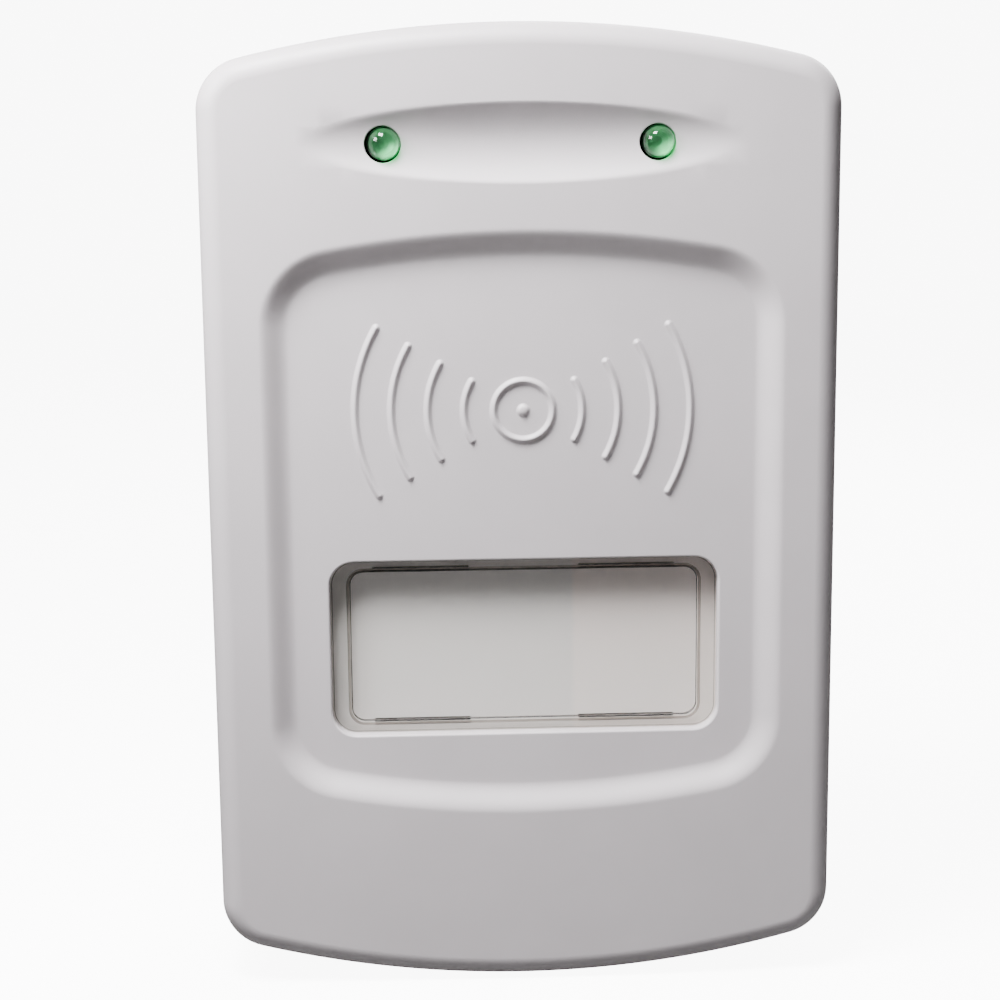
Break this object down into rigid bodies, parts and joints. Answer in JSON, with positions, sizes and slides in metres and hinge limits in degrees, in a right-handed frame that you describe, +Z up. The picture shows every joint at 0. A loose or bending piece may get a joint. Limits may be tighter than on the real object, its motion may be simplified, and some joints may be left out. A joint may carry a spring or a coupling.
{
  "type": "ultrasonic pest repeller",
  "caption": "Wall-plug ultrasonic pest repeller with an arched casing, green indicator lamps, a night-light window, a slide switch and flat plug blades.",
  "frame": {"origin": "on the flat back face, midway between the plug's two blades", "axes": "+Z up along the casing, +Y out of the back face along the blades, front face towards -Y"},
  "size_m": [0.0976, 0.0541, 0.148],
  "materials": {
    "casing_plastic": "fine satin moulded plastic, off-white",
    "clear_lens": "clear moulded plastic",
    "milky_plastic": "milky light-spreading sheet",
    "white_plastic": "white moulded plastic",
    "green_lens": "tinted transparent epoxy",
    "label_film": "blank printed film",
    "steel_screw": "zinc-plated steel",
    "tinned_wire": "tinned wire",
    "brass": "stamped brass",
    "black_plastic": "black moulded plastic",
    "grey_plastic": "dark grey moulded plastic",
    "wire_sleeve_black": "soft wire sleeve",
    "wire_sleeve_white": "soft wire sleeve",
    "wire_sleeve_red": "soft wire sleeve",
    "board": "green solder mask",
    "led_chip": "phosphor-filled lamp chip",
    "chip_black": "moulded epoxy",
    "ceramic": "fired ceramic",
    "film_yellow": "yellow plastic box",
    "resistor_tan": "lacquered body",
    "diode_glass": "orange glass body",
    "capacitor_sleeve": "dark blue shrink sleeve",
    "ferrite": "ground ferrite",
    "copper": "enamelled copper winding",
    "ceramic_brown": "dipped ceramic",
    "aluminium": "thin spun aluminium",
    "foam": "closed-cell foam",
    "phenolic": "brown phenolic"
  },
  "bodies": {
    "casing": {"front_cover": "casing_plastic", "rear_housing": "casing_plastic", "housing_screws": "steel_screw", "rating_label": "label_film", "window_lens": "clear_lens", "light_diffuser": "milky_plastic", "light_reflector": "white_plastic", "night_light_board": "board", "night_light_leds": "led_chip", "night_light_resistors": "chip_black", "night_light_screws": "steel_screw", "night_light_leads": "wire_sleeve_red", "left_led_lens": "green_lens", "right_led_lens": "green_lens", "left_led_leads": "tinned_wire", "right_led_leads": "tinned_wire", "left_led_spacer": "black_plastic", "right_led_spacer": "black_plastic", "neutral_blade": "brass", "live_blade": "brass", "blade_retainer": "white_plastic", "retainer_screws": "steel_screw", "live_wire": "wire_sleeve_black", "neutral_wire": "wire_sleeve_white", "main_board": "board", "board_screws": "steel_screw", "fuse": "ceramic", "film_capacitor": "film_yellow", "bleed_resistor": "resistor_tan", "rectifier_diodes": "chip_black", "zener_diode": "diode_glass", "filter_capacitor": "capacitor_sleeve", "supply_capacitor": "capacitor_sleeve", "driver_ic": "black_plastic", "driver_transistors": "black_plastic", "transformer_core": "ferrite", "transformer_bobbin": "black_plastic", "transformer_winding": "copper", "ceramic_capacitors": "ceramic_brown", "signal_resistors": "resistor_tan", "transducer_cup": "black_plastic", "transducer_cone": "aluminium", "piezo_plate": "brass", "piezo_ceramic": "ceramic", "transducer_gasket": "foam", "transducer_screws": "steel_screw", "transducer_leads": "wire_sleeve_red", "switch_base": "phenolic", "switch_can": "steel_screw", "switch_pins": "brass"},
    "night_light_switch": {"switch_lever": "black_plastic", "switch_knob": "grey_plastic"}
  },
  "joints": [
    {"name": "switch_slide", "type": "slide", "parent": "casing", "child": "night_light_switch", "axis": [0, 0, 1], "range_m": [0, 0.002]}
  ]
}
